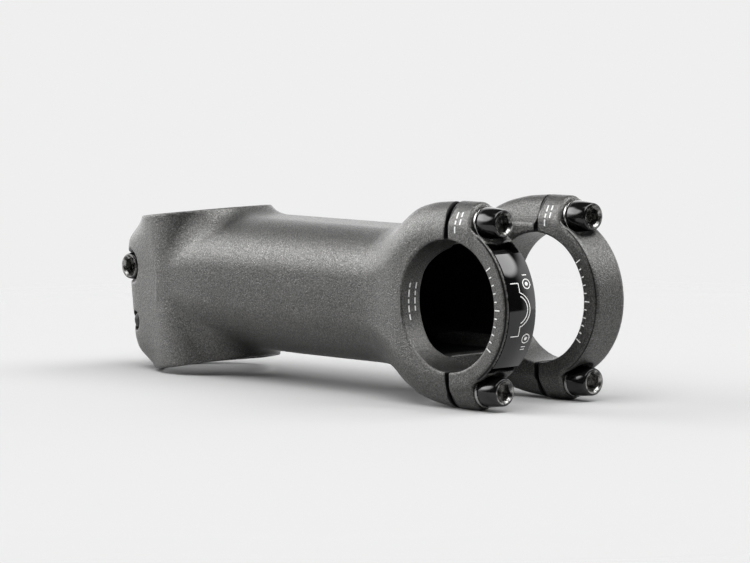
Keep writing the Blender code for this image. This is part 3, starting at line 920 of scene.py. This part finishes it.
def on_label(across, up, level):
    """Point on the label: across is along the bar, up is the way around it."""
    angle, radius = up / LABEL_RADIUS, LABEL_RADIUS + level
    return radius * cos(angle), LABEL_MIDDLE + across, radius * sin(angle)


def on_bore(across, up, level):
    """Point on the wall of the right ring's bore, behind the split."""
    angle, radius = pi + up / BAR_RADIUS, BAR_RADIUS - level
    return radius * cos(angle), -RING_CENTRE + across, radius * sin(angle)


def on_side(side):
    """Flat right-hand side face of a ring."""
    face = side * RING_CENTRE - RING_HALF_WIDTH

    def surface(x, z, level):
        return x, face - level, z

    return surface


def on_lug(side):
    """Curved right-hand face of a cap's lug: the point is carried in until it meets the cap."""
    field = cap_field(side)
    start = side * RING_CENTRE - RING_HALF_WIDTH - 0.5

    def surface(x, z, level):
        y = start
        for _ in range(40):
            y += 0.5 * float(field(np.array(x), np.array(y), np.array(z)))
        return x, y - level, z

    return surface


def drawn(name, body, draw, material=INK, nodes=()):
    """Piece made by a function that fills a bmesh in millimetres."""
    shape = bmesh.new()
    draw(shape)
    bmesh.ops.recalc_face_normals(shape, faces=shape.faces)
    matrix = Matrix.Translation(BAR_CENTRE) @ Matrix.Scale(MM, 4)
    bmesh.ops.transform(shape, matrix=matrix, verts=shape.verts)
    show(name, finished(shape, name), body, material, nodes)


def draw_strip(shape):
    """Gloss strip around the right cap's front, with softened edges."""
    soft = 0.12
    section = (
        (-LABEL_HALF, -LABEL_THICKNESS),
        (-LABEL_HALF, -soft),
        (-LABEL_HALF + 0.3 * soft, -0.3 * soft),
        (-LABEL_HALF + soft, 0.0),
        (LABEL_HALF - soft, 0.0),
        (LABEL_HALF - 0.3 * soft, -0.3 * soft),
        (LABEL_HALF, -soft),
        (LABEL_HALF, -LABEL_THICKNESS),
    )
    steps = 96
    rings = []
    for step in range(steps + 1):
        up = (LABEL_END + (LABEL_TOP - LABEL_END) * step / steps) * LABEL_RADIUS
        rings.append([shape.verts.new(on_label(across, up, level)) for across, level in section])
    for first, second in zip(rings, rings[1:]):
        for i in range(len(section)):
            j = (i + 1) % len(section)
            shape.faces.new((first[i], first[j], second[j], second[i]))
    shape.faces.new(rings[0])
    shape.faces.new(rings[-1])


def draw_label(shape):
    """Plain pictogram: an open ring, two ringed dots, one bar by the first and two by the second."""
    ink = 0.22
    ribbon(shape, arc((-1.9, 0.0), 4.3, -72, 72), ink, on_label)
    ribbon(shape, arc((-1.9, 0.0), 3.5, -66, 66), ink, on_label)
    for up, bars in ((6.1, 1), (-7.2, 2)):
        for radius, width in ((1.15, ink), (0.24, 0.46)):
            ribbon(shape, arc((2.1, up), radius, 0, 345, 23), width, on_label, closed=True)
        outwards = 1 if up > 0 else -1
        for bar in range(bars):
            level = up + outwards * (2.2 + 0.7 * bar)
            ribbon(shape, line((1.4, level), (2.8, level)), ink, on_label)
    for end in (1, -1):
        ribbon(shape, line((-0.6, end * 4.1), (-0.6, end * 6.4)), ink, on_label)
        ribbon(shape, line((-3.2, end * 6.4), (-0.6, end * 6.4)), ink, on_label)


def draw_ticks(side):
    """Eleven angle ticks beside the bore: long at both ends and in the middle."""
    start, width = BAR_RADIUS + 0.55, 0.27
    long_tick, short_tick = 1.55, 0.75
    degrees_apart = 6.8

    def draw(shape):
        surface = on_side(side)
        for i in range(-5, 6):
            angle = radians(degrees_apart * i)
            length = long_tick if i % 5 == 0 else short_tick
            ends = [(reach * cos(angle), reach * sin(angle)) for reach in (start, start + length)]
            ribbon(shape, line(*ends, 2), width, surface)

    return draw


def draw_dashes(side):
    """Two rows of plain dashes on the upper lug's face."""
    top, gap, width = 22.6, 0.5, 0.42

    def draw(shape):
        surface = on_lug(side)
        for column, lengths in ((3.0, (1.5, 0.9, 1.6)), (4.5, (1.1, 1.3))):
            level = top
            for length in lengths:
                ribbon(shape, line((column, level), (column, level - length)), width, surface)
                level -= length + gap

    return draw


def draw_bore_rows(shape):
    """Two rows of plain dashes on the bore's wall."""
    bottom, gap, width = -4.6, 0.55, 0.4
    for across, lengths in ((-2.6, (1.2, 1.8, 1.0, 1.6, 1.4)), (-0.5, (1.6, 1.1, 1.5, 1.2))):
        up = bottom
        for length in lengths:
            ribbon(shape, line((across, up), (across, up + length)), width, on_bore)
            up += length + gap


drawn("gloss_label", "right_cap", draw_strip, GLOSS, ["clamp_label"])
drawn("label_pictogram", "right_cap", draw_label)
for cap_name, cap_side in CAP_SIDES:
    drawn(f"{cap_name}_ticks", cap_name, draw_ticks(cap_side))
    drawn(f"{cap_name}_dashes", cap_name, draw_dashes(cap_side))
drawn("bore_dashes", "stem", draw_bore_rows)

# ---------------------------------------------------------------- studio

FLOOR_TONE = (0.414, 0.414, 0.414)
FLOOR_RADIUS = 0.34


def make_floor():
    """Pale round floor that fades out towards its rim."""
    shape = bmesh.new()
    bmesh.ops.create_circle(shape, cap_ends=True, segments=256, radius=FLOOR_RADIUS)
    mesh = bpy.data.meshes.new("floor")
    shape.to_mesh(mesh)
    shape.free()
    floor = bpy.data.objects.new("floor", mesh)
    bpy.context.scene.collection.objects.link(floor)
    material, shader, nodes, place = new_material("floor_paper", Roughness=1.0, Specular_IOR_Level=0.0)
    tone = nodes.noise(place, 9, 2.0)
    reach = nodes.add("ShaderNodeVectorMath", operation="LENGTH")
    nodes.link(place, reach.inputs[0])
    clear = nodes.add("ShaderNodeBsdfTransparent")
    blend = nodes.add("ShaderNodeMixShader")
    fade = nodes.map(reach.outputs["Value"], FLOOR_RADIUS * 0.7, FLOOR_RADIUS * 0.98)
    nodes.link(fade, blend.inputs[0])
    nodes.link(shader.outputs[0], blend.inputs[1])
    nodes.link(clear.outputs[0], blend.inputs[2])
    nodes.link(blend.outputs[0], material.node_tree.nodes["Material Output"].inputs["Surface"])
    lighter = [level * 1.005 for level in FLOOR_TONE]
    nodes.link(nodes.mix_colour(tone, FLOOR_TONE, lighter), shader.inputs["Base Color"])
    mesh.materials.append(material)


CAMERA_AZIMUTH = radians(45.03)
CAMERA_ELEVATION = radians(5.35)
CAMERA_DISTANCE = 0.970
AIM_YAW = radians(1.9)
AIM_PITCH = radians(-0.28)
AIM_ROLL = radians(-0.45)
CAMERA_LENS = 192.0


def direction(azimuth, elevation):
    """Unit vector from the stem towards a place around it."""
    level = cos(elevation)
    return Vector((sin(azimuth) * level, -cos(azimuth) * level, sin(elevation)))


def make_camera():
    """Long lens at the photograph's viewing angle."""
    data = bpy.data.cameras.new("camera")
    data.lens = CAMERA_LENS
    data.sensor_width = 36.0
    data.clip_start, data.clip_end = 0.01, 100.0
    camera = bpy.data.objects.new("camera", data)
    bpy.context.scene.collection.objects.link(camera)
    back = direction(CAMERA_AZIMUTH + AIM_YAW, CAMERA_ELEVATION + AIM_PITCH)
    right = Vector((0, 0, 1)).cross(back).normalized()
    up = back.cross(right)
    rolled_right = right * cos(AIM_ROLL) + up * sin(AIM_ROLL)
    rolled_up = up * cos(AIM_ROLL) - right * sin(AIM_ROLL)
    turn = Matrix((rolled_right, rolled_up, back)).transposed().to_4x4()
    place = BAR_CENTRE + direction(CAMERA_AZIMUTH, CAMERA_ELEVATION) * CAMERA_DISTANCE
    camera.matrix_world = Matrix.Translation(place) @ turn
    bpy.context.scene.camera = camera


# What the camera sees behind the stem
PALE = 0.863
# Light levels around the stem. Each pair says where a light ends and where it is full: the box overhead in
# degrees from the camera's side up over the top, the others by the part of a unit vector that points that way.
BASE_LEVEL = 0.015
TOP_LEVEL = 5.2
TOP_RISE = (40, 56)
TOP_FALL = (104, 90)
TOP_SIDES = (0.55, 0.36)
WALL_LEVEL = 1.5
WALL_SPREAD = (0.06, -0.3)
WALL_FALL = (0.62, 0.46)
FILL_RISE = (-0.12, 0.36)
# Each fill: direction, level, cosines where it is full and where it ends, and heights where it ends and is full
FILLS = (
    (direction(CAMERA_AZIMUTH - radians(99), radians(28)), 5.9, 0.97, 0.90, (0.70, 0.58)),
    (direction(CAMERA_AZIMUTH - radians(120), radians(10)), 1.5, 0.93, 0.70, (0.42, 0.24)),
    (direction(CAMERA_AZIMUTH + radians(92), radians(50)), 6.0, 0.965, 0.92, (0.92, 0.84)),
)


def make_light():
    """Soft studio around the stem: a large box overhead, a wall behind and fills on either hand."""
    world = bpy.data.worlds.new("studio")
    bpy.context.scene.world = world
    world.use_nodes = True
    tree = world.node_tree
    nodes = Nodes(tree)
    background = tree.nodes["Background"]
    sky = nodes.add("ShaderNodeTexCoord").outputs["Generated"]

    def along(vector):
        node = nodes.add("ShaderNodeVectorMath", operation="DOT_PRODUCT")
        nodes.link(sky, node.inputs[0])
        node.inputs[1].default_value = vector
        return node.outputs["Value"]

    front = along(direction(CAMERA_AZIMUTH, 0))
    right = along(direction(CAMERA_AZIMUTH + pi / 2, 0))
    height = along(Vector((0, 0, 1)))
    degrees = nodes.math("MULTIPLY", nodes.math("ARCTAN2", height, front), 180 / pi)
    sideways = nodes.math("ABSOLUTE", right)

    overhead = nodes.math("MULTIPLY", nodes.map(degrees, *TOP_RISE), nodes.map(degrees, *TOP_FALL))
    overhead = nodes.math("MULTIPLY", overhead, nodes.map(sideways, *TOP_SIDES))
    total = nodes.math("MULTIPLY_ADD", overhead, TOP_LEVEL, BASE_LEVEL)
    behind = nodes.math("MULTIPLY", nodes.map(front, *WALL_SPREAD), nodes.map(height, *WALL_FALL))
    total = nodes.math("MULTIPLY_ADD", behind, WALL_LEVEL, total)
    for vector, strength, inner, outer, fall in FILLS:
        lamp = nodes.map(along(vector), outer, inner)
        lamp = nodes.math("MULTIPLY", lamp, nodes.map(height, *FILL_RISE))
        lamp = nodes.math("MULTIPLY", lamp, nodes.map(height, *fall))
        total = nodes.math("MULTIPLY_ADD", lamp, strength, total)
    seen = nodes.add("ShaderNodeLightPath").outputs["Is Camera Ray"]
    shown = nodes.add("ShaderNodeMix", data_type="FLOAT")
    nodes.link(seen, shown.inputs[0])
    nodes.link(total, shown.inputs[2])
    shown.inputs[3].default_value = PALE
    background.inputs["Color"].default_value = (1, 1, 1, 1)
    nodes.link(shown.outputs[0], background.inputs["Strength"])


make_floor()
make_camera()
make_light()
bpy.context.scene.view_settings.view_transform = "Standard"
